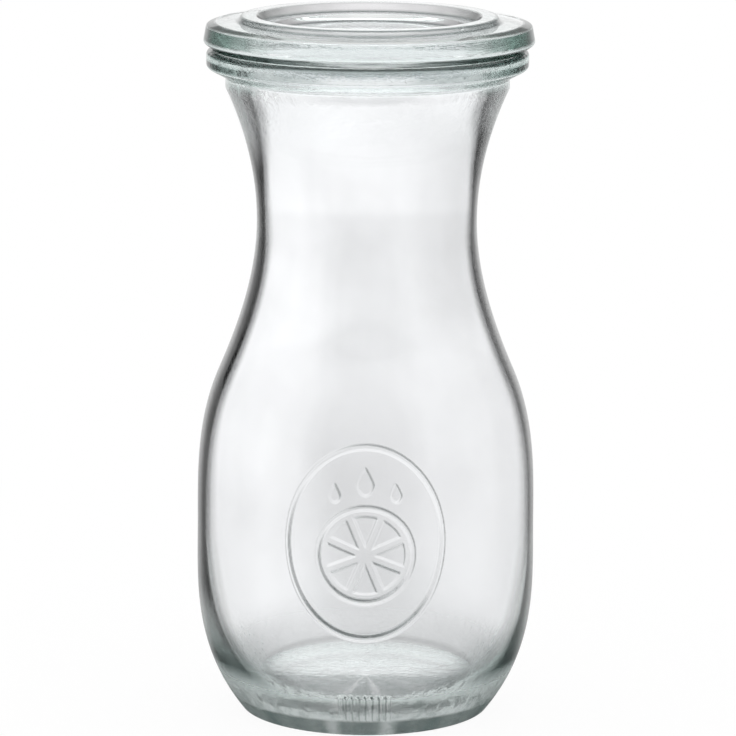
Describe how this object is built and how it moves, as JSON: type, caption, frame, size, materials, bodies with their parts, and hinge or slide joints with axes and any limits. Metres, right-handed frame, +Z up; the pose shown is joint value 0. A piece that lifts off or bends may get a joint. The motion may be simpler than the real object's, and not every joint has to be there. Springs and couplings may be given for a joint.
{
  "type": "juice bottle",
  "caption": "Clear pressed-glass juice bottle with a round belly, narrow waist, flared neck and bead rim, closed by a loose flanged glass lid with a dished top.",
  "frame": {"origin": "centre of the base, on the surface that the bottle stands on", "axes": "+Z up along the bottle's axis, -Y towards the side that the picture shows, +X to its right"},
  "size_m": [0.0676, 0.0676, 0.14],
  "materials": {
    "bottle_glass": "clear, smooth, with a faint green tint where the glass is thick",
    "lid_glass": "clear, smooth, with a faint green tint in the thick flange"
  },
  "bodies": {
    "bottle": {"bottle": "bottle_glass"},
    "lid": {"lid": "lid_glass"}
  },
  "joints": [
    {"name": "lid_lift", "type": "slide", "parent": "bottle", "child": "lid", "axis": [0, 0, 1], "range_m": [0, 0.05]}
  ]
}
